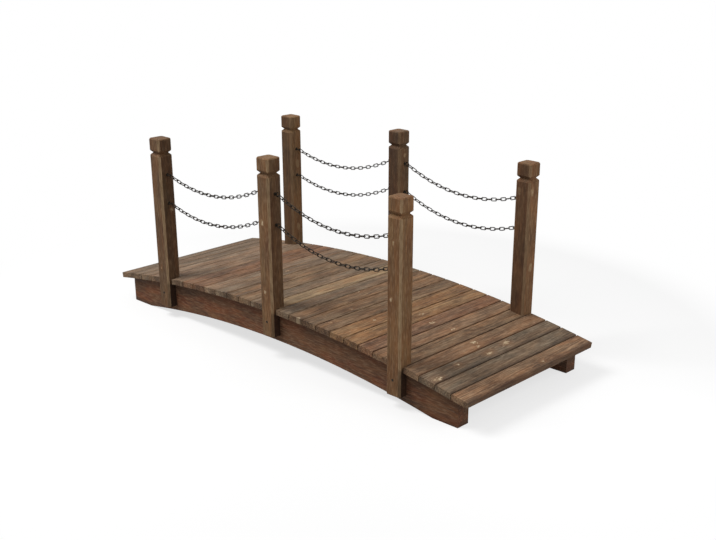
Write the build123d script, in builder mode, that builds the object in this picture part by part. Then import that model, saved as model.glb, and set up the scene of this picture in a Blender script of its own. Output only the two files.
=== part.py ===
"""Garden moon bridge: a low arched footbridge of stained fir with chain rails.

Two arched side beams with flat feet carry a deck of cross planks. Six posts stand over
the beams: the inner half of each post sits on a shortened plank, and its outer half runs
down past the deck as a tongue on the beam's outer face. Two chains hang in each bay
between screw eyes on the posts' facing sides.

Frame, in millimetres: X runs along the span, Y across it, Z up. The origin is on the
ground at the middle of the span, so the beams' feet stand on z = 0.
"""

import os
from math import asin, asinh, atan, cos, cosh, pi, sin, sinh, sqrt

from build123d import *

# Deck
deck_length = 1580
deck_width = 600
deck_end_height = 96
deck_crown_height = 166
plank_count = 27
plank_width = 56
plank_thickness = 18
plank_eased_edge = 1.5

# Side beams
beam_length = 1490
beam_thickness = 45
deck_overhang = 18
foot_length = 91
arch_height = 55

# Posts
post_size = 54
post_arris = 6.5
post_proud_of_deck = 12
post_top_end = 611
post_top_middle = 632
post_top_arris = 3
post_plank_from_end = 5
tongue_above_beam_edge = 20
neck_below_top = 47
neck_depth = 10

# Chain links and screw eyes
link_count = 24
link_inner_length = 19.1
link_inner_width = 6.2
link_outer_corner = 2.6
link_wire = 3
link_slack = 0.15
upper_eye_above_deck = 359
lower_eye_above_deck = 264
eye_reach = 12
eye_inner_radius = 5
eye_wire = 3
eye_level_bearing = 4.1
eye_stem_radius = 2
eye_stem_length = 6
eye_collar_radius = 5.5
eye_collar_thickness = 1.5

# The deck's top follows one circle through its two ends and its crown, and the beams'
# tops follow the same circle one plank lower.
half_deck = deck_length / 2
deck_rise = deck_crown_height - deck_end_height
deck_radius = (half_deck**2 + deck_rise**2) / (2 * deck_rise)
arch_centre_height = deck_crown_height - deck_radius
beam_top_radius = deck_radius - plank_thickness
end_plank_angle = asin(half_deck / deck_radius) - atan(plank_width / 2 / deck_radius)
plank_step = 2 * end_plank_angle / (plank_count - 1)

# The posts stand at planks counted from the ends and at the middle plank.
middle_plank = (plank_count + 1) // 2
post_planks = (post_plank_from_end, middle_plank, plank_count + 1 - post_plank_from_end)
post_angle = (middle_plank - post_plank_from_end) * plank_step
post_station = deck_radius * sin(post_angle)
beam_outer_face = deck_width / 2 - deck_overhang
post_line = deck_width / 2 + post_proud_of_deck - post_size / 2

ends = {"left": -1, "middle": 0, "right": 1}
sides = {"near": -1, "far": 1}

os.makedirs("parts", exist_ok=True)


def save(piece, name):
    """Labels a finished piece and writes it under the same name."""
    piece.part.label = name
    export_step(piece.part, f"parts/{name}.step")


def arch_point(radius, angle):
    """Point (x, z) on a circle about the arch's centre, at an angle from the crown."""
    return radius * sin(angle), arch_centre_height + radius * cos(angle)


def arch_plane(radius, angle, y=0):
    """Plane that lies on the arch there, with its normal pointing up out of the deck."""
    x, z = arch_point(radius, angle)
    return Plane(origin=(x, y, z), x_dir=(cos(angle), 0, -sin(angle)), z_dir=(sin(angle), 0, cos(angle)))


def underside_height(x):
    """Height above the ground of the beams' arched lower edge."""
    half_opening = beam_length / 2 - foot_length
    radius = (half_opening**2 + arch_height**2) / (2 * arch_height)
    return arch_height - radius + sqrt(radius**2 - x**2)


def neck_height(end):
    """Height of a post's neck. The middle posts stand on the crown, so theirs is higher."""
    top = post_top_middle if end == 0 else post_top_end
    return top - neck_below_top


# Side beams
# Each is sawn from one board, with an arched top, flat feet and an arched underside.
def side_beam(side):
    half = beam_length / 2
    foot = half - foot_length
    end_height = arch_point(beam_top_radius, asin(half / beam_top_radius))[1]
    crown_height = arch_point(beam_top_radius, 0)[1]
    middle_of_board = side * (beam_outer_face - beam_thickness / 2)
    with BuildPart() as beam:
        with BuildSketch(Plane.XZ.offset(-middle_of_board)):
            with BuildLine():
                ThreePointArc((-half, end_height), (0, crown_height), (half, end_height))
                Polyline((half, end_height), (half, 0), (foot, 0))
                ThreePointArc((foot, 0), (0, arch_height), (-foot, 0))
                Polyline((-foot, 0), (-half, 0), (-half, end_height))
            make_face()
        extrude(amount=beam_thickness / 2, both=True)
    return beam


for side_name, side in sides.items():
    save(side_beam(side), f"side_beam_{side_name}")


# Deck planks
# Each plank lies flat on the arch and touches it along its middle line. The planks under
# the posts end at the beams' outer faces, where the posts' tongues pass.
def deck_plank(number):
    length = 2 * beam_outer_face if number in post_planks else deck_width
    seat = arch_plane(beam_top_radius, (number - middle_plank) * plank_step)
    with BuildPart() as plank:
        with BuildSketch(seat):
            Rectangle(plank_width, length)
        extrude(amount=plank_thickness)
        long_edges = plank.edges().filter_by(Axis.Y)
        upper_edges = long_edges.sort_by(Axis(seat.origin, seat.z_dir))[-2:]
        chamfer(upper_edges, length=plank_eased_edge)
    return plank


for number in range(1, plank_count + 1):
    save(deck_plank(number), f"deck_plank_{number:02d}")


# Posts
# One stick with planed arrises. Four V cuts make the neck under the head, and below the
# deck the inner half is cut away, on the slope of the plank that it stands on.
def post(side, end):
    station = end * post_station
    line = side * post_line
    half = post_size / 2
    bottom = underside_height(station) + tongue_above_beam_edge
    top = neck_height(end) + neck_below_top
    shoulder_depth = beam_outer_face - (post_line - half)
    shoulder = arch_plane(deck_radius, end * post_angle, side * (post_line - half))
    with BuildPart() as stick:
        with BuildSketch(Plane.XY.offset(bottom)) as section:
            with Locations((station, line)):
                Rectangle(post_size, post_size)
            chamfer(section.vertices(), length=post_arris)
        extrude(amount=top - bottom)
        chamfer(stick.faces().sort_by(Axis.Z)[-1].edges(), length=post_top_arris)
        for turn in range(4):
            angle = turn * pi / 2
            across_face = Plane(
                origin=(station, line, neck_height(end)),
                x_dir=(cos(angle), sin(angle), 0),
                z_dir=(sin(angle), -cos(angle), 0),
            )
            with BuildSketch(across_face):
                with BuildLine():
                    Polyline(
                        (half - neck_depth, 0),
                        (half + 1, neck_depth + 1),
                        (half + 1, -neck_depth - 1),
                        close=True,
                    )
                make_face()
            extrude(amount=post_size, both=True, mode=Mode.SUBTRACT)
        with BuildSketch(shoulder):
            Rectangle(2 * post_size, 2 * shoulder_depth)
        extrude(amount=-2 * shoulder.origin.Z, mode=Mode.SUBTRACT)
    return stick


for side_name, side in sides.items():
    for end_name, end in ends.items():
        save(post(side, end), f"post_{side_name}_{end_name}")


# Screw eyes
# A ring of wire on a stem, screwed home until its collar bears on the post. The rings on
# the middle posts stand upright, and those on the end posts lie level.
with BuildPart() as screw_eye:
    with BuildSketch(Plane.XZ):
        with Locations((eye_reach, 0)):
            RegularPolygon(eye_inner_radius + eye_wire, 8, major_radius=False)
            RegularPolygon(eye_inner_radius, 8, major_radius=False, mode=Mode.SUBTRACT)
    extrude(amount=eye_wire / 2, both=True)
    with BuildSketch(Plane.YZ):
        RegularPolygon(eye_stem_radius, 6)
    extrude(amount=eye_stem_length)
    with BuildSketch(Plane.YZ):
        RegularPolygon(eye_collar_radius, 8)
    extrude(amount=eye_collar_thickness)


def eye_height(end, rise):
    """Height of a screw eye, measured up the post from the deck."""
    return arch_point(deck_radius, end * post_angle)[1] + rise


def eyes_on_side(side):
    places = []
    for rise in (upper_eye_above_deck, lower_eye_above_deck):
        for end in ends.values():
            for facing in (-1, 1):
                if facing == end:
                    continue
                x = end * post_station + facing * post_size / 2
                origin = (x, side * post_line, eye_height(end, rise))
                turn = (0, 0, 1) if end == 0 else (0, 1, 0)
                places.append(Plane(origin=origin, x_dir=(facing, 0, 0), z_dir=turn).location)
    with BuildPart() as eyes:
        with Locations(*places):
            add(screw_eye.part)
    return eyes


for side_name, side in sides.items():
    save(eyes_on_side(side), f"screw_eyes_{side_name}")


# Chain links
# A link is a long ring of wire. Each one bears on the inside of the next, a quarter turn
# round from it, and the first and last hang in the screw eyes.
with BuildPart() as link:
    with BuildSketch() as outline:
        Rectangle(link_inner_length + 2 * link_wire, link_inner_width + 2 * link_wire)
        chamfer(outline.vertices(), length=link_outer_corner)
        Rectangle(link_inner_length, link_inner_width, mode=Mode.SUBTRACT)
    extrude(amount=link_wire / 2, both=True)


def hanging_points(start, finish, steps, step_length):
    """Points (x, z) at equal steps along a chain of set length that hangs freely.

    The chain follows a catenary, and the catenary's scale is found by bisection.
    """
    span = finish[0] - start[0]
    climb = finish[1] - start[1]
    level_length = sqrt((steps * step_length) ** 2 - climb**2)
    low, high = span / 20, span * 20
    for _ in range(80):
        scale = (low + high) / 2
        if 2 * scale * sinh(span / (2 * scale)) > level_length:
            low = scale
        else:
            high = scale
    lowest = span / 2 - scale * asinh(climb / (2 * scale * sinh(span / (2 * scale))))
    points = []
    for index in range(steps + 1):
        x = scale * asinh(index * step_length / scale - sinh(lowest / scale))
        z = scale * (cosh(x / scale) - cosh(lowest / scale))
        points.append((start[0] + lowest + x, start[1] + z))
    return points


def chain(side, bay, rise):
    """The chain in the bay on one side of the middle post, bay -1 or 1.

    It hangs from the end post to the middle post. Its first link stands upright in a level
    ring, and its last lies flat on the lower outer flat of an upright ring.
    """
    eye_middle = post_size / 2 + eye_reach
    bearing = eye_inner_radius - 2 * link_slack
    start = (-post_station + eye_middle + eye_level_bearing, eye_height(-1, rise))
    finish = (-eye_middle - bearing * cos(pi / 8), eye_height(0, rise) - bearing * sin(pi / 8))
    step = link_inner_length - link_slack
    points = hanging_points(start, finish, link_count, step)
    places = []
    for index in range(link_count):
        (x0, z0), (x1, z1) = points[index], points[index + 1]
        run = (-bay * (x1 - x0), 0, z1 - z0)
        flat = (-run[2], 0, run[0])
        upright = (0, 1, 0)
        middle = (-bay * (x0 + x1) / 2, side * post_line, (z0 + z1) / 2)
        normal = upright if index % 2 == 0 else flat
        places.append(Plane(origin=middle, x_dir=run, z_dir=normal).location)
    with BuildPart() as links:
        with Locations(*places):
            add(link.part)
    return links


for side_name, side in sides.items():
    for bay_name, bay in {"left": -1, "right": 1}.items():
        for level, rise in {"upper": upper_eye_above_deck, "lower": lower_eye_above_deck}.items():
            save(chain(side, bay, rise), f"chain_{side_name}_{bay_name}_{level}")
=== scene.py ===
"""Looks of the garden moon bridge: dark stained fir, black chain rails, pale studio.

Frame, in metres: X runs along the span, Y across it, Z up, with the ground at z = 0.
"""

from math import asinh, cos, cosh, pi, radians, sin, sinh, sqrt

import bpy
from mathutils import Matrix, Vector


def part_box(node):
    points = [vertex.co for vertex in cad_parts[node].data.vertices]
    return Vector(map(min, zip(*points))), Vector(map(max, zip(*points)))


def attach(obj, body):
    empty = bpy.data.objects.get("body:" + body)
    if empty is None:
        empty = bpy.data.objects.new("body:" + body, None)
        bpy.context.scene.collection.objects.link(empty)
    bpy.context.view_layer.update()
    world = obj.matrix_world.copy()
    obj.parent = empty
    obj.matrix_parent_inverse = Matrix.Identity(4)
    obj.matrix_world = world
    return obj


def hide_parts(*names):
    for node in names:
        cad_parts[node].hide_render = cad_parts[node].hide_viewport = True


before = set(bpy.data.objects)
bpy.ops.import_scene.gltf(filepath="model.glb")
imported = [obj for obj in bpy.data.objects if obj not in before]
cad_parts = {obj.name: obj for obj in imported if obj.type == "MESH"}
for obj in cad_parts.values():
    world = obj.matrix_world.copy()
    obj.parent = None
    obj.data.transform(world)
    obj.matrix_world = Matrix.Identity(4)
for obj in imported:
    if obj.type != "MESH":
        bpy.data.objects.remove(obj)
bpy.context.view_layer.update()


# Side beams
# Two boards of fir on edge, sawn to an arch and soaked in a red-brown stain before the
# deck was laid on them. Grain runs along the span, and the planed faces show knots.


def seen(red, green, blue):
    """The linear colour of a tint given as it looks on a screen, 0 to 255."""
    channels = []
    for level in (red, green, blue):
        level = level / 255
        channels.append(level / 12.92 if level <= 0.04045 else ((level + 0.055) / 1.055) ** 2.4)
    return (*channels, 1)


def shader_group(name, inputs, outputs):
    """A new shader group. Inputs are (kind, name, value) and outputs (kind, name)."""
    tree = bpy.data.node_groups.new(name, "ShaderNodeTree")
    for kind, label, value in inputs:
        socket = tree.interface.new_socket(label, in_out="INPUT", socket_type=f"NodeSocket{kind}")
        socket.default_value = value
    for kind, label in outputs:
        tree.interface.new_socket(label, in_out="OUTPUT", socket_type=f"NodeSocket{kind}")
    return tree, tree.nodes.new("NodeGroupInput").outputs, tree.nodes.new("NodeGroupOutput")


def fill(tree, node, values):
    """Sets a node's inputs. A value that is another node's socket is linked instead."""
    for name, value in values.items():
        if isinstance(value, bpy.types.NodeSocket):
            tree.links.new(value, node.inputs[name])
        else:
            node.inputs[name].default_value = value
    return node


def add(tree, kind, values=(), **settings):
    """Adds a node with its settings and its inputs' values."""
    node = tree.nodes.new(kind)
    for name, value in settings.items():
        setattr(node, name, value)
    return fill(tree, node, dict(values))


def use(tree, group, values):
    """Places a shader group in a tree and returns its outputs."""
    return fill(tree, add(tree, "ShaderNodeGroup", node_tree=group), values).outputs


def calc(tree, operation, a, b=0.0):
    """Arithmetic on one or two numbers."""
    return add(tree, "ShaderNodeMath", {0: a, 1: b}, operation=operation).outputs[0]


def shift(tree, operation, a, b=(0, 0, 0)):
    """Arithmetic on one or two vectors."""
    node = add(tree, "ShaderNodeVectorMath", {0: a, 1: b}, operation=operation)
    return node.outputs["Value" if operation == "LENGTH" else "Vector"]


def fade(tree, value, start, end):
    """0 at start to 1 at end, with a soft beginning and end."""
    values = {"Value": value, "From Min": start, "From Max": end}
    return add(tree, "ShaderNodeMapRange", values, interpolation_type="SMOOTHSTEP").outputs[0]


def between(tree, share, low, high):
    """low where a share is 0, and high where it is 1."""
    return calc(tree, "ADD", low, calc(tree, "MULTIPLY", share, high - low))


def mix(tree, amount, a, b, blend="MIX"):
    """Mixes two colours."""
    node = add(tree, "ShaderNodeMix", {0: amount, 6: a, 7: b}, data_type="RGBA", blend_type=blend)
    return node.outputs[2]


def noise(tree, place, stretch, piece, detail=2.0, output=0):
    """Noise that differs from piece to piece, stretched as the vector says."""
    place = shift(tree, "MULTIPLY", place, stretch)
    values = {"Vector": place, "W": piece, "Scale": 1.0, "Detail": detail}
    return add(tree, "ShaderNodeTexNoise", values, noise_dimensions="4D").outputs[output]


def stray(tree, place, stretch, piece, detail, reach):
    """A vector that strays smoothly by up to half of reach each way."""
    drift = noise(tree, place, stretch, piece, detail, "Color")
    drift = shift(tree, "SUBTRACT", drift, (0.5, 0.5, 0.5))
    return shift(tree, "MULTIPLY", drift, reach)


def make_fir_figure():
    """Growth rings, streaks and fibres of sawn fir, with the grain along Z.

    Rings stand round a pith line that wanders a little, so faces show straight lines
    or long arches, and ends show arcs. Bend swings the lines round a knot.
    """
    tree, given, out = shader_group(
        "fir figure",
        [
            ("Vector", "Place", (0, 0, 0)),
            ("Vector", "Pith", (0.03, 0.02, 0)),
            ("Float", "Ring Width", 0.004),
            ("Float", "Bend", 0),
            ("Float", "Piece", 0),
        ],
        [
            ("Float", "Latewood"),
            ("Float", "Streaks"),
            ("Float", "Fibres"),
            ("Float", "Flecks"),
            ("Float", "Clouds"),
            ("Float", "Warmth"),
        ],
    )
    place, piece = given["Place"], given["Piece"]
    wander = stray(tree, place, (5, 5, 1.6), piece, 1.0, (0.05, 0.05, 0))
    across = shift(tree, "SUBTRACT", shift(tree, "ADD", place, wander), given["Pith"])
    across = shift(tree, "LENGTH", shift(tree, "MULTIPLY", across, (1, 1, 0)))
    rings = calc(tree, "DIVIDE", across, given["Ring Width"])
    wobble = calc(tree, "MULTIPLY", noise(tree, place, (90, 90, 9), piece), 0.7)
    rings = calc(tree, "ADD", calc(tree, "ADD", rings, wobble), given["Bend"])
    growth = calc(tree, "FRACT", rings)
    line = calc(tree, "SUBTRACT", fade(tree, growth, 0.2, 0.82), fade(tree, growth, 0.86, 1.0))
    year = {"W": calc(tree, "FLOOR", rings)}
    year = add(tree, "ShaderNodeTexWhiteNoise", year, noise_dimensions="1D").outputs["Value"]
    line = calc(tree, "MULTIPLY", line, fade(tree, year, -0.6, 1.0))
    streaks = noise(tree, place, (170, 170, 13), piece, 6.0)
    flecks = noise(tree, place, (300, 300, 42), piece, 3.0)
    clouds = noise(tree, place, (20, 20, 9), piece, 4.0)
    warmth = noise(tree, place, (34, 34, 8), calc(tree, "ADD", piece, 70.0), 3.0)
    fill(
        tree,
        out,
        {
            "Latewood": line,
            "Streaks": fade(tree, streaks, 0.4, 0.6),
            "Fibres": noise(tree, place, (1200, 1200, 26), piece, 3.0),
            "Flecks": fade(tree, flecks, 0.44, 0.66),
            "Clouds": fade(tree, clouds, 0.34, 0.66),
            "Warmth": fade(tree, warmth, 0.36, 0.64),
        },
    )
    return tree


def make_knot():
    """One knot: its dark heart, the halo where grain swings round it, and pale resin chips."""
    tree, given, out = shader_group(
        "knot",
        [
            ("Vector", "Place", (0, 0, 0)),
            ("Vector", "Centre", (0, 0, 0)),
            ("Float", "Radius", 0.01),
            ("Float", "Piece", 0),
        ],
        [("Float", "Heart"), ("Float", "Halo"), ("Float", "Chips")],
    )
    wood, piece = given["Place"], given["Piece"]
    ragged = stray(tree, wood, (110, 110, 70), piece, 2.0, (0.012, 0.012, 0.02))
    place = shift(tree, "SUBTRACT", shift(tree, "ADD", wood, ragged), given["Centre"])
    place = shift(tree, "MULTIPLY", place, (1, 1, 0.6))
    away = calc(tree, "DIVIDE", shift(tree, "LENGTH", place), given["Radius"])
    halo = fade(tree, away, 2.8, 0.4)
    grit = noise(tree, wood, (260, 260, 120), calc(tree, "ADD", piece, 30.5), 2.0)
    grit = calc(tree, "ADD", grit, calc(tree, "MULTIPLY", fade(tree, away, 1.2, 0.1), 0.13))
    chips = calc(tree, "MULTIPLY", fade(tree, grit, 0.56, 0.7), fade(tree, away, 1.2, 0.8))
    fill(tree, out, {"Heart": fade(tree, away, 1.05, 0.6), "Halo": halo, "Chips": chips})
    return tree


def make_stained_fir():
    """Colour, roughness and height of stained, brushed and weathered fir.

    It also paints the shade and the highlight that a piece's marks ask for.
    """
    tree, given, out = shader_group(
        "stained fir",
        [
            ("Float", "Latewood", 0),
            ("Float", "Streaks", 0),
            ("Float", "Fibres", 0.5),
            ("Float", "Flecks", 0),
            ("Float", "Clouds", 0.5),
            ("Float", "Warmth", 0.5),
            ("Float", "Heart", 0),
            ("Float", "Halo", 0),
            ("Float", "Chips", 0),
            ("Float", "Worn And Highlit", 0),
            ("Float", "Painted Shade And Grime", 0),
            ("Color", "Ground", seen(128, 104, 84)),
            ("Color", "Stain", seen(84, 62, 46)),
        ],
        [("Color", "Color"), ("Float", "Roughness"), ("Float", "Height")],
    )
    ground, stain = given["Ground"], given["Stain"]
    soak = calc(tree, "MULTIPLY", given["Streaks"], 0.6)
    soak = calc(tree, "ADD", soak, calc(tree, "MULTIPLY", given["Clouds"], 0.45))
    soak = calc(tree, "SUBTRACT", soak, calc(tree, "MULTIPLY", given["Flecks"], 0.25))
    colour = mix(tree, soak, ground, stain)
    leaning = mix(tree, given["Warmth"], seen(250, 254, 251), seen(255, 240, 222))
    colour = mix(tree, 1.0, colour, leaning, "MULTIPLY")
    pale_fleck = mix(tree, 0.5, colour, seen(176, 154, 128))
    colour = mix(tree, calc(tree, "MULTIPLY", given["Flecks"], 0.3), colour, pale_fleck)
    dark_line = mix(tree, 1.0, colour, seen(164, 146, 132), "MULTIPLY")
    colour = mix(tree, calc(tree, "MULTIPLY", given["Latewood"], 0.7), colour, dark_line)
    fibre = between(tree, given["Fibres"], 0.28, 1.88)
    colour = mix(tree, 1.0, colour, fibre, "MULTIPLY")
    colour = mix(tree, calc(tree, "MULTIPLY", given["Halo"], 0.35), colour, seen(122, 82, 52))
    colour = mix(tree, calc(tree, "MULTIPLY", given["Heart"], 0.6), colour, seen(158, 130, 96))
    # Pales the colour for rubbed wear, and on the posts' arrises also for a painted highlight
    worn = calc(tree, "MULTIPLY", given["Worn And Highlit"], fade(tree, given["Fibres"], 0.3, 0.6))
    colour = mix(tree, worn, colour, seen(178, 150, 116))
    colour = mix(tree, given["Chips"], colour, seen(202, 181, 149))
    # Darkens where a piece's marks ask: mostly painted shade, also the mottled plank ends and the
    # darker beam feet
    shaded_and_soiled = mix(tree, 1.0, colour, seen(120, 100, 84), "MULTIPLY")
    colour = mix(tree, given["Painted Shade And Grime"], colour, shaded_and_soiled)
    rough = between(tree, given["Latewood"], 0.78, 0.62)
    rough = calc(tree, "ADD", rough, calc(tree, "MULTIPLY", given["Fibres"], 0.12))
    height = calc(tree, "ADD", given["Latewood"], calc(tree, "MULTIPLY", given["Fibres"], 1.1))
    height = calc(tree, "ADD", height, given["Heart"])
    height = calc(tree, "SUBTRACT", height, calc(tree, "MULTIPLY", given["Chips"], 1.6))
    fill(tree, out, {"Color": colour, "Roughness": rough, "Height": height})
    return tree


fir_figure = make_fir_figure()
knot = make_knot()
stained_fir = make_stained_fir()


def fir_material(name, middle, turn, piece, pith, ring_width, ground, stain, knots, marks):
    """Stained fir for one piece. middle and turn bring its centre to 0 and its grain to Z.

    knots is a list of (centre, radius) in the piece's own axes. marks is given the tree, the
    place and the finish so far, and returns what the piece's own wear changes in it.
    """
    material = bpy.data.materials.new(name)
    material.use_nodes = True
    tree = material.node_tree
    surface = tree.nodes["Principled BSDF"]
    coordinates = add(tree, "ShaderNodeTexCoord")
    centred = shift(tree, "SUBTRACT", coordinates.outputs["Object"], middle)
    place = add(tree, "ShaderNodeMapping", {"Vector": centred, "Rotation": turn}).outputs[0]
    heart = halo = chips = 0.0
    for centre, radius in knots:
        spot = {"Place": place, "Centre": centre, "Radius": radius, "Piece": piece}
        found = use(tree, knot, spot)
        heart = calc(tree, "MAXIMUM", heart, found["Heart"])
        halo = calc(tree, "MAXIMUM", halo, found["Halo"])
        chips = calc(tree, "MAXIMUM", chips, found["Chips"])
    bend = calc(tree, "MULTIPLY", halo, 1.2)
    sawn = {"Place": place, "Pith": pith, "Ring Width": ring_width, "Bend": bend, "Piece": piece}
    figure = use(tree, fir_figure, sawn)
    shared = ("Latewood", "Streaks", "Fibres", "Flecks", "Clouds", "Warmth")
    finish = {label: figure[label] for label in shared}
    finish |= {"Heart": heart, "Halo": halo, "Chips": chips, "Ground": ground, "Stain": stain}
    finish |= marks(tree, place, finish)
    finished = use(tree, stained_fir, finish)
    bump = {"Height": finished["Height"], "Strength": 0.5, "Distance": 0.0007}
    relief = add(tree, "ShaderNodeBump", bump).outputs[0]
    fill(
        tree,
        surface,
        {
            "Base Color": finished["Color"],
            "Roughness": finished["Roughness"],
            "Normal": relief,
            "Specular IOR Level": 0.3,
        },
    )
    return material


def dress(name, material):
    """Gives a CAD piece its material."""
    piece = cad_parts[name]
    piece.data.materials.clear()
    piece.data.materials.append(material)


grain_along_x = (0, -pi / 2, 0)
beam_ground = seen(112, 75, 50)
beam_stain = seen(64, 42, 29)
beam_red_ground = seen(121, 76, 51)
beam_red_stain = seen(76, 40, 25)
beam_half_thickness = 0.0225
beam_half_height = 0.074
beam_top_radius = 4.475
dark_foot_height = 0.024

# How far below a beam's upper edge the deck's shade starts, and where it is full
deck_shade_start = 0.045
deck_shade_full = 0.008

# Knots on each beam's outer face: how far below and along from its middle, and radius
beam_knots = {
    "near": [(0.02, -0.3, 0.01), (-0.01, 0.22, 0.008), (0, 0.66, 0.01)],
    "far": [(0.01, -0.45, 0.01), (0.02, 0.08, 0.008), (0, 0.52, 0.01)],
}


def beam_marks(tree, place, finish):
    """Redder patches, painted shade below the deck's overhang on the upper edge, and darker feet.
    """
    axes = add(tree, "ShaderNodeSeparateXYZ", {0: place}).outputs
    drop = calc(tree, "DIVIDE", calc(tree, "MULTIPLY", axes[2], axes[2]), 2 * beam_top_radius)
    below_edge = calc(tree, "SUBTRACT", calc(tree, "ADD", axes[0], beam_half_height), drop)
    # Painted shade where the deck overhangs the beam's upper edge, with a ragged margin
    ragged = calc(tree, "MULTIPLY", finish["Streaks"], 0.02)
    shaded = calc(tree, "ADD", below_edge, ragged)
    shaded = fade(tree, shaded, deck_shade_start, deck_shade_full)
    # Darker near the ground at the beam's feet
    near_ground = fade(tree, axes[0], beam_half_height - dark_foot_height, beam_half_height)
    painted_shade_and_grime = calc(tree, "MULTIPLY", calc(tree, "MAXIMUM", shaded, near_ground), 0.5)
    faint = calc(tree, "MULTIPLY", finish["Latewood"], 0.6)
    red = calc(tree, "MULTIPLY", fade(tree, finish["Warmth"], 0.5, 1.0), 0.5)
    return {
        "Painted Shade And Grime": painted_shade_and_grime,
        "Latewood": faint,
        "Streaks": between(tree, finish["Streaks"], 0.18, 0.82),
        "Ground": mix(tree, red, finish["Ground"], beam_red_ground),
        "Stain": mix(tree, red, finish["Stain"], beam_red_stain),
        "Heart": calc(tree, "MULTIPLY", finish["Heart"], 0.2),
        "Chips": 0.0,
    }


for number, side in enumerate(("near", "far")):
    low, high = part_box(f"side_beam_{side}")
    middle = tuple((a + b) / 2 for a, b in zip(low, high))
    face = -beam_half_thickness if side == "near" else beam_half_thickness
    beam_wood = fir_material(
        f"beam_wood_{side}",
        middle,
        grain_along_x,
        piece=40 + number,
        pith=(0.035, 0.09, 0),
        ring_width=0.0038,
        ground=beam_ground,
        stain=beam_stain,
        knots=[((below, face, along), radius) for below, along, radius in beam_knots[side]],
        marks=beam_marks,
    )
    dress(f"side_beam_{side}", beam_wood)


# Deck planks
# Twenty-seven narrow fir boards laid side by side across the beams. Each was stained on its
# own, so neighbours differ in tint, and foot traffic has worn their upper edges pale.

deck_length = 1.580
deck_crown_height = 0.166
deck_rise = 0.070
deck_radius = ((deck_length / 2) ** 2 + deck_rise**2) / (2 * deck_rise)
plank_count = 27
plank_width = 0.056
plank_length = 0.600
plank_thickness = 0.018
worn_edge_width = 0.004
worn_end_length = 0.006
bare_corner_plank = 16
bare_corner_across = 0.012
bare_corner_radius = 0.010
grain_along_y = (-pi / 2, 0, 0)
plank_tints = {
    "grey": (seen(134, 114, 95), seen(81, 65, 51)),
    "slate": (seen(122, 105, 88), seen(73, 60, 48)),
    "pale": (seen(149, 126, 106), seen(93, 73, 57)),
    "brown": (seen(140, 112, 86), seen(77, 58, 42)),
    "red": (seen(140, 104, 79), seen(76, 52, 37)),
    "tan": (seen(168, 142, 112), seen(118, 96, 72)),
    "amber": (seen(159, 123, 87), seen(89, 63, 42)),
    "warm": (seen(147, 116, 90), seen(85, 62, 45)),
}
plank_order = (
    "grey grey grey pale pale pale red red pale grey brown brown grey tan "
    "grey brown brown brown amber amber red warm brown warm slate slate warm"
).split()

# Knots on the walked side: how far across and towards the near end, and radius
plank_knots = {
    3: [(0.004, 0.036, 0.005)],
    4: [(0.012, -0.022, 0.005)],
    10: [(-0.004, 0.007, 0.006)],
    16: [(-0.022, 0.002, 0.004)],
    17: [(0.010, 0.130, 0.005)],
    18: [(-0.016, 0.250, 0.005)],
    19: [(-0.002, 0.139, 0.005), (0.009, 0.254, 0.005)],
    20: [(0.0, -0.007, 0.008), (0.012, 0.13, 0.006), (-0.022, 0.22, 0.004)],
    21: [(0.005, 0.011, 0.008)],
    22: [(0.016, -0.006, 0.007)],
    24: [(-0.006, 0.012, 0.011), (0.018, 0.021, 0.006)],
    25: [
        (-0.007, -0.067, 0.01),
        (0.005, 0.026, 0.01),
        (-0.005, 0.16, 0.006),
        (0.015, 0.272, 0.012),
    ],
    27: [(0.010, -0.068, 0.006)],
}


def outside(tree, mask):
    """1 where a mask is 0, and 0 where it is 1."""
    return calc(tree, "SUBTRACT", 1.0, mask)


def plank_marks(bare_corner):
    """Marks of a plank. bare_corner is 1 where its near end has shed the stain, or else 0."""

    def marks(tree, place, finish):
        """Paler long edges on the walked side, painted shade on the sides and underside, and
        mottled sawn ends.
        """
        axes = add(tree, "ShaderNodeSeparateXYZ", {0: place}).outputs
        across, along = calc(tree, "ABSOLUTE", axes[0]), calc(tree, "ABSOLUTE", axes[2])
        edge = fade(tree, across, plank_width / 2 - worn_edge_width, plank_width / 2)
        top = fade(tree, axes[1], 0.25 * plank_thickness, 0.4 * plank_thickness)
        end = fade(tree, along, plank_length / 2 - worn_end_length, plank_length / 2)
        worn = calc(tree, "MAXIMUM", calc(tree, "MULTIPLY", edge, top), end)
        worn = calc(tree, "MULTIPLY", worn, finish["Flecks"])
        # Painted shade on the plank's sides and underside, below the walked face and away from the
        # ends
        shaded_below_top = calc(tree, "MULTIPLY", outside(tree, top), outside(tree, end))
        painted_shade_and_grime = calc(tree, "MAXIMUM", shaded_below_top, calc(tree, "MULTIPLY", end, finish["Clouds"]))
        corner = shift(tree, "SUBTRACT", place, (bare_corner_across, 0, plank_length / 2))
        corner = shift(tree, "LENGTH", shift(tree, "MULTIPLY", corner, (1, 0.4, 1)))
        bare = fade(tree, corner, bare_corner_radius, 0.6 * bare_corner_radius)
        bare = calc(tree, "MULTIPLY", bare, bare_corner)
        return {
            "Streaks": between(tree, finish["Streaks"], 0.12, 0.88),
            "Worn And Highlit": calc(tree, "MULTIPLY", worn, 0.33),
            "Painted Shade And Grime": calc(tree, "MULTIPLY", painted_shade_and_grime, 0.6),
            "Heart": calc(tree, "MULTIPLY", finish["Heart"], 0.5),
            "Chips": calc(tree, "MAXIMUM", finish["Chips"], calc(tree, "MULTIPLY", bare, 0.7)),
        }

    return marks


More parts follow.
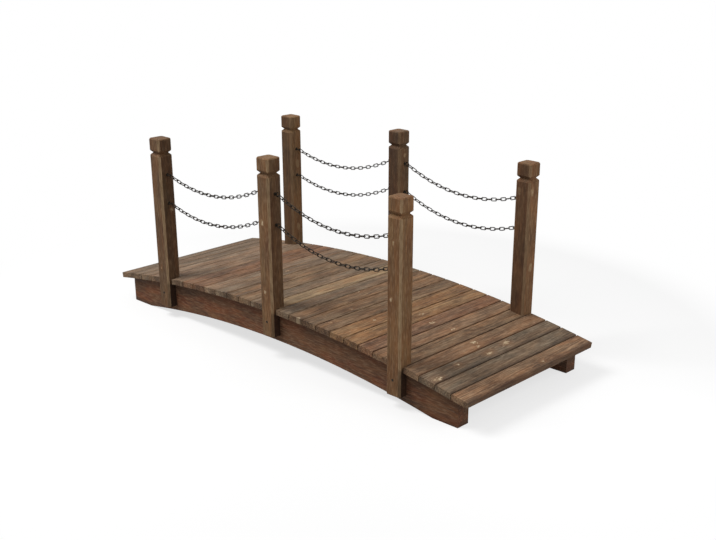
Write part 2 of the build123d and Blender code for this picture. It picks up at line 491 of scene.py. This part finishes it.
for number in range(1, plank_count + 1):
    plank = f"deck_plank_{number:02d}"
    low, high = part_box(plank)
    middle = tuple((a + b) / 2 for a, b in zip(low, high))
    ground, stain = plank_tints[plank_order[number - 1]]
    knots = plank_knots.get(number, ())

    # Each plank comes from its own place in the log, heart side up or down by turns
    pith_side = 1 if number % 2 else -1
    plank_wood = fir_material(
        f"deck_wood_{number:02d}",
        middle,
        grain_along_y,
        piece=number,
        pith=(0.02 * sin(number * 2.4), pith_side * (0.02 + 0.015 * cos(number * 1.7)), 0),
        ring_width=0.0042 + 0.001 * sin(number * 3.1),
        ground=ground,
        stain=stain,
        knots=[((across, plank_thickness / 2, along), radius) for across, along, radius in knots],
        marks=plank_marks(1.0 if number == bare_corner_plank else 0.0),
    )
    dress(plank, plank_wood)


# Posts
# Six square sticks of stained fir with planed arrises and a V neck under the head. Below the
# deck the outer half runs on as a tongue over the beam. The arrises are painted pale, partly as
# rubbed wear and partly as a painted highlight.

# Ground and stain tints of each post. They differ partly as real stain does and partly as painted
# light and shade from post to post
post_stain_and_light_tints = {
    "near_left": (seen(110, 81, 54), seen(68, 46, 29)),
    "near_middle": (seen(124, 93, 62), seen(80, 55, 36)),
    "near_right": (seen(128, 95, 62), seen(86, 59, 37)),
    "far_left": (seen(144, 111, 77), seen(92, 67, 44)),
    "far_middle": (seen(124, 94, 67), seen(74, 54, 38)),
    "far_right": (seen(142, 107, 74), seen(88, 61, 40)),
}
half_post = 0.027

# How far below the deck the shade on a tongue's cheeks starts, and where it is full
cheek_shade_start = 0.006
cheek_shade_full = 0.020

# Knots on the posts' -Y and +X faces: how far across and up from the middle, and radius
post_knots = {
    "near_left": [("+X", 0.008, 0.05, 0.006), ("-Y", -0.004, -0.15, 0.004)],
    "near_middle": [("-Y", -0.004, -0.136, 0.006), ("-Y", -0.005, 0.085, 0.007)],
    "near_right": [("-Y", -0.008, 0.0, 0.005), ("-Y", -0.002, 0.16, 0.004)],
    "far_left": [("+X", 0.004, 0.116, 0.011), ("+X", 0.0, -0.12, 0.009)],
    "far_middle": [("+X", 0.0, 0.2, 0.006)],
    "far_right": [("-Y", -0.01, 0.2, 0.008), ("+X", -0.012, 0.2, 0.01), ("+X", 0.0, -0.04, 0.01)],
}

# How pale each post's knots are chipped, and how much painted shade darkens its +X side
post_chips_and_shade = {
    "near_left": (0.8, 0.3),
    "near_middle": (0.8, 0.3),
    "near_right": (0.7, 0.0),
    "far_left": (0.0, 0.0),
    "far_middle": (0.2, 0.0),
    "far_right": (0.4, 0.0),
}


def deck_height(x):
    """Height of the deck's top at a place along the span."""
    return deck_crown_height - deck_radius + sqrt(deck_radius**2 - x**2)


def post_marks(deck, shaded_side, resin, plus_x_shade_strength):
    """Marks of a post. deck is the deck's height from the post's middle, and the second argument
    is -1 or 1 for the side along Y that faces the deck, the side that gets painted shade.
    """

    def marks(tree, place, finish):
        """Arrises paled by rubbed wear and a painted highlight, and painted shade on the side over
        the deck, on the +X side and on the tongue's cheeks.
        """
        normal = add(tree, "ShaderNodeNewGeometry").outputs["Normal"]
        normal = add(tree, "ShaderNodeSeparateXYZ", {0: normal}).outputs
        # The arris facets are painted paler: partly rubbed wear, partly a painted highlight on the
        # edge
        slant = calc(tree, "ABSOLUTE", calc(tree, "MULTIPLY", normal[0], normal[1]))
        rubbed_and_highlit = between(tree, finish["Flecks"], 0.75, 1.0)
        rubbed_and_highlit = calc(tree, "MULTIPLY", fade(tree, slant, 0.2, 0.45), rubbed_and_highlit)
        level = add(tree, "ShaderNodeSeparateXYZ", {0: place}).outputs[2]
        # Painted shade on the tongue's cheeks below the deck
        below = fade(tree, level, deck - cheek_shade_start, deck - cheek_shade_full)
        sideways = fade(tree, calc(tree, "ABSOLUTE", normal[0]), 0.5, 0.9)
        cheek = calc(tree, "MULTIPLY", below, sideways)
        # Painted shade on the side that faces the deck
        shaded_inner_face = fade(tree, calc(tree, "MULTIPLY", normal[1], shaded_side), 0.3, 0.9)
        painted_shade_and_grime = calc(tree, "MAXIMUM", cheek, calc(tree, "MULTIPLY", shaded_inner_face, 0.7))
        # Painted shade on the +X side of the posts that ask for it
        plus_x_shade = calc(tree, "MULTIPLY", fade(tree, normal[0], 0.7, 0.95), plus_x_shade_strength)
        painted_shade_and_grime = calc(tree, "MAXIMUM", painted_shade_and_grime, plus_x_shade)
        faint = calc(tree, "MULTIPLY", finish["Latewood"], 0.5)
        soft = between(tree, finish["Streaks"], 0.25, 0.75)
        chips = calc(tree, "MULTIPLY", finish["Chips"], resin)
        return {"Worn And Highlit": rubbed_and_highlit, "Painted Shade And Grime": painted_shade_and_grime, "Latewood": faint, "Streaks": soft, "Chips": chips}

    return marks


for number, (post, (ground, stain)) in enumerate(post_stain_and_light_tints.items()):
    low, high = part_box(f"post_{post}")
    middle = tuple((a + b) / 2 for a, b in zip(low, high))
    deck = deck_height(middle[0]) - middle[2]
    shaded_side = 1 if post.startswith("near") else -1
    knots = []
    for face, across, up, radius in post_knots[post]:
        centre = (half_post, across, up) if face == "+X" else (across, -half_post, up)
        knots.append((centre, radius))
    post_wood = fir_material(
        f"post_wood_{post}",
        middle,
        (0, 0, 0),
        piece=50 + number,
        pith=(0.02 * cos(number * 2.1), 0.02 * sin(number * 2.1), 0),
        ring_width=0.0042,
        ground=ground,
        stain=stain,
        knots=knots,
        marks=post_marks(deck, shaded_side, *post_chips_and_shade[post]),
    )
    dress(f"post_{post}", post_wood)


# Screw eyes
# Black lacquered steel wire bent to a ring on a threaded stem, with a pressed collar. Each is
# screwed home into the post's face until the collar bears on the wood.


def make_black_lacquer():
    """Glossy black lacquer on steel, with thin spots where links rub."""
    material = bpy.data.materials.new("black_lacquer")
    material.use_nodes = True
    tree = material.node_tree
    place = add(tree, "ShaderNodeTexCoord").outputs["Object"]
    rub = fade(tree, noise(tree, place, (160, 160, 160), 0.0, 3.0), 0.52, 0.72)
    dust = fade(tree, noise(tree, place, (900, 900, 900), 1.0, 2.0), 0.35, 0.75)
    colour = mix(tree, rub, seen(25, 20, 15), seen(48, 39, 30))
    rough = between(tree, dust, 0.42, 0.67)
    relief = add(tree, "ShaderNodeBump", {"Height": dust, "Strength": 0.25, "Distance": 0.0002})
    fill(
        tree,
        tree.nodes["Principled BSDF"],
        {
            "Base Color": colour,
            "Metallic": calc(tree, "MULTIPLY", rub, 0.3),
            "Roughness": rough,
            "Specular IOR Level": 0.2,
            "Specular Tint": (1.0, 0.82, 0.66, 1),
            "Normal": relief.outputs[0],
        },
    )
    return material


black_lacquer = make_black_lacquer()


def geometry_tree(name, inputs):
    """A new geometry tree that takes and gives a mesh. Inputs are (kind, name)."""
    tree = bpy.data.node_groups.new(name, "GeometryNodeTree")
    tree.interface.new_socket("Geometry", in_out="INPUT", socket_type="NodeSocketGeometry")
    tree.interface.new_socket("Geometry", in_out="OUTPUT", socket_type="NodeSocketGeometry")
    for kind, label in inputs:
        tree.interface.new_socket(label, in_out="INPUT", socket_type=f"NodeSocket{kind}")
    return tree, tree.nodes.new("NodeGroupInput").outputs, tree.nodes.new("NodeGroupOutput")


def finish_tree(tree, out, instances, material):
    """Ends a geometry tree: real, smooth-shaded meshes with their material."""
    real = add(tree, "GeometryNodeRealizeInstances", {"Geometry": instances})
    smooth = add(tree, "GeometryNodeSetShadeSmooth", {"Geometry": real.outputs[0]})
    coat = {"Geometry": smooth.outputs[0], "Material": material}
    painted = add(tree, "GeometryNodeSetMaterial", coat)
    fill(tree, out, {"Geometry": painted.outputs[0]})


def grow(name, points, edges, tree, values):
    """Runs a geometry tree on a mesh of points and keeps the result as a plain mesh."""
    seed = bpy.data.meshes.new(f"{name}_seed")
    seed.from_pydata(points, edges, [])
    carrier = bpy.data.objects.new(f"{name}_carrier", seed)
    bpy.context.collection.objects.link(carrier)
    modifier = carrier.modifiers.new("grow", "NODES")
    modifier.node_group = tree
    for item in tree.interface.items_tree:
        if item.in_out == "INPUT" and item.name in values:
            modifier[item.identifier] = values[item.name]
    settled = bpy.context.evaluated_depsgraph_get()
    mesh = bpy.data.meshes.new_from_object(carrier.evaluated_get(settled))
    mesh.name = name
    bpy.data.objects.remove(carrier)
    piece = bpy.data.objects.new(name, mesh)
    bpy.context.collection.objects.link(piece)
    return piece


def wire_along(tree, curve, half_wire, sides):
    """Round wire bent along a curve."""
    radius = {"Resolution": sides, "Radius": half_wire}
    section = add(tree, "GeometryNodeCurvePrimitiveCircle", radius).outputs[0]
    wire = {"Curve": curve, "Profile Curve": section}
    return add(tree, "GeometryNodeCurveToMesh", wire).outputs[0]


def make_screw_eye_tree():
    """Screw eyes on a mesh's points, facing +X and upright before they are turned."""
    tree, given, out = geometry_tree(
        "set screw eyes",
        [
            ("Float", "Ring Radius"),
            ("Float", "Wire"),
            ("Float", "Reach"),
            ("Float", "Stem Radius"),
            ("Float", "Collar Radius"),
            ("Float", "Collar Thickness"),
            ("Float", "Roll"),
            ("Float", "Facing"),
            ("Material", "Material"),
        ],
    )
    half_wire = calc(tree, "MULTIPLY", given["Wire"], 0.5)
    bend = {"Resolution": 20, "Radius": given["Ring Radius"]}
    bend = add(tree, "GeometryNodeCurvePrimitiveCircle", bend).outputs[0]
    ring = wire_along(tree, bend, half_wire, 8)
    reach = add(tree, "ShaderNodeCombineXYZ", {"X": given["Reach"]}).outputs[0]
    ring = add(
        tree,
        "GeometryNodeTransform",
        {"Geometry": ring, "Translation": reach, "Rotation": (pi / 2, 0, 0)},
    )
    stem_length = calc(tree, "SUBTRACT", given["Reach"], given["Ring Radius"])
    stem = add(
        tree,
        "GeometryNodeMeshCone",
        {
            "Vertices": 12,
            "Radius Top": half_wire,
            "Radius Bottom": given["Stem Radius"],
            "Depth": stem_length,
        },
    )
    collar = add(
        tree,
        "GeometryNodeMeshCone",
        {
            "Vertices": 16,
            "Radius Top": calc(tree, "MULTIPLY", given["Collar Radius"], 0.72),
            "Radius Bottom": given["Collar Radius"],
            "Depth": given["Collar Thickness"],
        },
    )
    eye = tree.nodes.new("GeometryNodeJoinGeometry")
    tree.links.new(ring.outputs[0], eye.inputs[0])
    for part in (stem, collar):
        laid = {"Geometry": part.outputs["Mesh"], "Rotation": (0, pi / 2, 0)}
        tree.links.new(add(tree, "GeometryNodeTransform", laid).outputs[0], eye.inputs[0])
    facing = add(tree, "ShaderNodeCombineXYZ", {"X": given["Roll"], "Z": given["Facing"]})
    eyes = add(
        tree,
        "GeometryNodeInstanceOnPoints",
        {"Points": given["Geometry"], "Instance": eye.outputs[0], "Rotation": facing.outputs[0]},
    )
    finish_tree(tree, out, eyes.outputs[0], given["Material"])
    return tree


screw_eye_tree = make_screw_eye_tree()
eye_above_deck = {"upper": 0.359, "lower": 0.264}
eye_reach = 0.012
eye_wire = 0.003
eye_ring_radius = 0.0065
eye_stem_radius = 0.002
eye_collar_radius = 0.0055
eye_collar_thickness = 0.0015


def eye_seat(side, end, facing, level):
    """(x, y, z): where a screw eye enters the post's face towards -X or +X."""
    low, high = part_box(f"post_{side}_{end}")
    x = high[0] if facing > 0 else low[0]
    y = (low[1] + high[1]) / 2
    return x, y, deck_height((low[0] + high[0]) / 2) + eye_above_deck[level]


def join_pieces(name, pieces):
    """One object from several, each already in its place."""
    with bpy.context.temp_override(
        active_object=pieces[0], selected_editable_objects=pieces, selected_objects=pieces
    ):
        bpy.ops.object.join()
    pieces[0].name = name
    return pieces[0]


for side in ("near", "far"):
    pairs = []
    for end, facing in (("left", 1), ("middle", -1), ("middle", 1), ("right", -1)):
        pairs.append(
            grow(
                f"screw_eye_pair_{side}_{end}_{'plus' if facing > 0 else 'minus'}",
                [eye_seat(side, end, facing, level) for level in eye_above_deck],
                [],
                screw_eye_tree,
                {
                    "Ring Radius": eye_ring_radius,
                    "Wire": eye_wire,
                    "Reach": eye_reach,
                    "Stem Radius": eye_stem_radius,
                    "Collar Radius": eye_collar_radius,
                    "Collar Thickness": eye_collar_thickness,
                    "Roll": 0.0 if end == "middle" else pi / 2,
                    "Facing": 0.0 if facing > 0 else pi,
                    "Material": black_lacquer,
                },
            )
        )
    eyes = join_pieces(f"screw_eye_set_{side}", pairs)
    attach(eyes, "root")
    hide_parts(f"screw_eyes_{side}")


# Tongue screws
# One black screw holds each post's tongue to the beam. Its low head bears on the tongue's
# outer face, halfway down from the deck.


def turned_heads(name, profile, sides, places):
    """Closed solids turned about the Y axis. Profile is (radius, height off the face).

    Places are (x, y, z, outward), where outward is -1 or 1 along Y.
    """
    points, faces = [], []
    last = len(profile) - 1
    for x, y, z, outward in places:
        first = len(points)
        for radius, height in profile:
            for step in range(sides):
                angle = outward * 2 * pi * step / sides
                right, up = radius * cos(angle), radius * sin(angle)
                points.append((x + right, y + outward * height, z + up))
        for ring in range(last):
            for step in range(sides):
                a = first + ring * sides + step
                b = first + ring * sides + (step + 1) % sides
                faces.append((a, b, b + sides, a + sides))
        faces.append([first + step for step in reversed(range(sides))])
        faces.append([first + last * sides + step for step in range(sides)])
    mesh = bpy.data.meshes.new(name)
    mesh.from_pydata(points, [], faces)
    heads = bpy.data.objects.new(name, mesh)
    bpy.context.collection.objects.link(heads)
    return heads


# A domed head with a shallow recess, let slightly into the wood
screw_head = (
    (0.0016, 0.0002),
    (0.0019, 0.0007),
    (0.0036, 0.0005),
    (0.0042, 0),
    (0.0042, -0.0008),
)

for side, outward in (("near", -1), ("far", 1)):
    places = []
    for end in ("left", "middle", "right"):
        low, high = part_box(f"post_{side}_{end}")
        x = (low[0] + high[0]) / 2
        y = low[1] if side == "near" else high[1]
        places.append((x, y, (low[2] + deck_height(x)) / 2, outward))
    heads = turned_heads(f"tongue_screws_{side}", screw_head, 16, places)
    heads.data.materials.append(black_lacquer)
    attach(heads, "root")


# Chains
# Eight lengths of black lacquered straight-link chain, 24 links each. Every link is round wire
# bent to a long ring and welded, and it hangs a quarter turn round from its neighbours.

link_count = 24
link_inner_length = 0.0191
link_inner_width = 0.0062
link_wire = 0.003
link_slack = 0.00015


def make_chain_tree():
    """Chain links along a line of edges, one link to an edge, each turned a quarter."""
    tree, given, out = geometry_tree(
        "hang links",
        [
            ("Float", "Inner Length"),
            ("Float", "Inner Width"),
            ("Float", "Wire"),
            ("Material", "Material"),
        ],
    )
    length = calc(tree, "ADD", given["Inner Length"], given["Wire"])
    width = calc(tree, "ADD", given["Inner Width"], given["Wire"])
    oblong = {"Width": length, "Height": width}
    oblong = add(tree, "GeometryNodeCurvePrimitiveQuadrilateral", oblong).outputs[0]
    bend_radius = calc(tree, "MULTIPLY", width, 0.47)
    bent = add(
        tree,
        "GeometryNodeFilletCurve",
        {"Curve": oblong, "Count": 3, "Radius": bend_radius},
        mode="POLY",
    )
    half_wire = calc(tree, "MULTIPLY", given["Wire"], 0.5)
    link = wire_along(tree, bent.outputs[0], half_wire, 6)
    ends = add(tree, "GeometryNodeInputMeshEdgeVertices")
    run = shift(tree, "SUBTRACT", ends.outputs["Position 2"], ends.outputs["Position 1"])
    order = add(tree, "GeometryNodeInputIndex")
    odd = calc(tree, "MODULO", order.outputs[0], 2)
    upright = add(tree, "ShaderNodeCombineXYZ", {"Y": outside(tree, odd), "Z": odd})
    along = add(tree, "FunctionNodeAlignRotationToVector", {"Vector": run}, axis="X")
    rolled = add(
        tree,
        "FunctionNodeAlignRotationToVector",
        {"Rotation": along.outputs[0], "Vector": upright.outputs[0]},
        axis="Z",
        pivot_axis="X",
    )
    line = {"Geometry": given["Geometry"]}
    kept = add(tree, "GeometryNodeCaptureAttribute", line, domain="EDGE")
    kept.capture_items.new("ROTATION", "Turn")
    tree.links.new(rolled.outputs[0], kept.inputs["Turn"])
    middles = add(tree, "GeometryNodeMeshToPoints", {"Mesh": kept.outputs[0]}, mode="EDGES")
    links = add(
        tree,
        "GeometryNodeInstanceOnPoints",
        {
            "Points": middles.outputs[0],
            "Instance": link,
            "Rotation": kept.outputs["Turn"],
        },
    )
    finish_tree(tree, out, links.outputs[0], given["Material"])
    return tree


def hanging_points(start, finish, steps, step_length):
    """Points (x, z) at equal steps along a chain of set length that hangs freely.

    The chain follows a catenary, and the catenary's scale is found by bisection.
    """
    span = finish[0] - start[0]
    climb = finish[1] - start[1]
    level_length = sqrt((steps * step_length) ** 2 - climb**2)
    low, high = span / 20, span * 20
    for _ in range(80):
        scale = (low + high) / 2
        if 2 * scale * sinh(span / (2 * scale)) > level_length:
            low = scale
        else:
            high = scale
    lowest = span / 2 - scale * asinh(climb / (2 * scale * sinh(span / (2 * scale))))
    points = []
    for index in range(steps + 1):
        x = scale * asinh(index * step_length / scale - sinh(lowest / scale))
        z = scale * (cosh(x / scale) - cosh(lowest / scale))
        points.append((start[0] + lowest + x, start[1] + z))
    return points


chain_tree = make_chain_tree()

# How far off its ring's centre an end link bears, in a level ring and in an upright one,
# where it lies on the lower outer side
level_bearing = 0.0041
upright_bearing = eye_ring_radius - eye_wire / 2 - 2 * link_slack
upright_bearing_angle = pi / 8

for side in ("near", "far"):
    for bay in ("left", "right"):
        away = 1 if bay == "left" else -1
        for level in eye_above_deck:
            outer_x, y, outer_z = eye_seat(side, bay, away, level)
            inner_x, y, inner_z = eye_seat(side, "middle", -away, level)
            start = (-abs(outer_x) + eye_reach + level_bearing, outer_z)
            past = upright_bearing * cos(upright_bearing_angle)
            below = upright_bearing * sin(upright_bearing_angle)
            finish = (-abs(inner_x) - eye_reach - past, inner_z - below)
            step = link_inner_length - link_slack
            points = []
            for x, z in hanging_points(start, finish, link_count, step):
                points.append((away * x, y, z))
            edges = [(index, index + 1) for index in range(link_count)]
            chain = grow(
                f"chain_links_{side}_{bay}_{level}",
                points,
                edges,
                chain_tree,
                {
                    "Inner Length": link_inner_length,
                    "Inner Width": link_inner_width,
                    "Wire": link_wire,
                    "Material": black_lacquer,
                },
            )
            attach(chain, "root")
            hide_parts(f"chain_{side}_{bay}_{level}")


# Studio
# A pale floor that fades to the white surround away from the bridge, so that only the
# bridge's own soft shadow shows on it, and the floor is dim deep under the deck.


def background_rays(tree):
    """1 for rays that see the background directly, in a gloss or through something."""
    path = add(tree, "ShaderNodeLightPath").outputs
    seen_straight = calc(tree, "MAXIMUM", path["Is Camera Ray"], path["Is Glossy Ray"])
    return calc(tree, "MAXIMUM", seen_straight, path["Is Transmission Ray"])


floor_half_width = 30
floor_as_lit = (0.42, 0.41, 0.40, 1)
floor_as_seen = (0.98, 0.98, 0.98, 1)

# Where a fade on the floor starts and ends, measured from under the bridge's middle
clear_of_bridge = (0.8, 1.5)
under_deck_half_length = (0.68, 0.58)
under_deck_half_width = (0.19, 0.16)


def make_floor():
    """The pale ground, lit by the lamps and glowing like the surround away from the bridge."""
    half = floor_half_width
    mesh = bpy.data.meshes.new("floor")
    corners = [(-half, -half, 0), (half, -half, 0), (half, half, 0), (-half, half, 0)]
    mesh.from_pydata(corners, [], [(0, 1, 2, 3)])
    floor = bpy.data.objects.new("floor", mesh)
    bpy.context.collection.objects.link(floor)
    material = bpy.data.materials.new("pale_floor")
    material.use_nodes = True
    tree = material.node_tree
    tree.nodes.clear()
    place = add(tree, "ShaderNodeTexCoord").outputs["Object"]
    away = shift(tree, "LENGTH", place)
    open_floor = calc(tree, "MAXIMUM", fade(tree, away, *clear_of_bridge), 0.7)
    axes = add(tree, "ShaderNodeSeparateXYZ", {0: place}).outputs
    under_deck = calc(
        tree,
        "MULTIPLY",
        fade(tree, calc(tree, "ABSOLUTE", axes[0]), *under_deck_half_length),
        fade(tree, calc(tree, "ABSOLUTE", axes[1]), *under_deck_half_width),
    )
    open_floor = calc(tree, "MULTIPLY", open_floor, between(tree, under_deck, 1.0, 0.15))
    direct = background_rays(tree)
    share = calc(tree, "MULTIPLY", direct, open_floor)
    tone = mix(tree, direct, floor_as_lit, floor_as_seen)
    lit = add(tree, "ShaderNodeBsdfDiffuse", {"Color": tone})
    glow = add(tree, "ShaderNodeEmission", {"Color": (1, 1, 1, 1), "Strength": 1.0})
    both = add(tree, "ShaderNodeMixShader", {0: share, 1: lit.outputs[0], 2: glow.outputs[0]})
    add(tree, "ShaderNodeOutputMaterial", {"Surface": both.outputs[0]})
    mesh.materials.append(material)


def make_surround(fill_strength):
    """The white surround, which lights the bridge more weakly than it shows."""
    world = bpy.data.worlds.new("pale_surround")
    bpy.context.scene.world = world
    world.use_nodes = True
    tree = world.node_tree
    tree.nodes.clear()
    direct = background_rays(tree)
    spare = calc(tree, "MULTIPLY", outside(tree, direct), fill_strength)
    strength = calc(tree, "ADD", direct, spare)
    glow = add(tree, "ShaderNodeBackground", {"Color": (1, 1, 1, 1), "Strength": strength})
    add(tree, "ShaderNodeOutputWorld", {"Surface": glow.outputs[0]})


def make_lamp(name, place, target, size, power):
    """A soft square lamp that faces its target."""
    lamp = bpy.data.lights.new(name, "AREA")
    lamp.shape = "SQUARE"
    lamp.size = size
    lamp.energy = power
    holder = bpy.data.objects.new(name, lamp)
    holder.location = place
    holder.rotation_euler = (Vector(target) - Vector(place)).to_track_quat("-Z", "Y").to_euler()
    bpy.context.collection.objects.link(holder)


make_floor()
make_surround(fill_strength=0.34)
make_lamp("key_lamp", place=(-1.5, -1.9, 3.8), target=(0, 0, 0.2), size=2.0, power=155)
make_lamp("end_lamp", place=(1.5, 0, 0.75), target=(0.5, 0, 0.35), size=0.5, power=4)


# Camera
# It stands off the bridge's near right corner, above the post heads.

camera_data = bpy.data.cameras.new("camera")
camera = bpy.data.objects.new("camera", camera_data)
bpy.context.collection.objects.link(camera)
bpy.context.scene.camera = camera

image_width = 716
image_height = 540
focal_pixels = 1090.95
axis_pixel = (406.08, 340.36)
camera_place = (2.42007, -2.36997, 1.33270)
camera_yaw = 48.177
camera_pitch = 21.926
camera_roll = 0.813

camera_data.sensor_width = 36
camera_data.lens = focal_pixels * camera_data.sensor_width / image_width
camera_data.shift_x = (image_width / 2 - axis_pixel[0]) / image_width
camera_data.shift_y = (axis_pixel[1] - image_height / 2) / image_width
camera_data.clip_end = 200
heading = Matrix.Rotation(radians(90 - camera_yaw), 4, "Z")
tilt = Matrix.Rotation(radians(90 - camera_pitch), 4, "X")
roll = Matrix.Rotation(radians(camera_roll), 4, "Z")
camera.matrix_world = Matrix.Translation(camera_place) @ heading @ tilt @ roll

bpy.context.scene.view_settings.view_transform = "Standard"
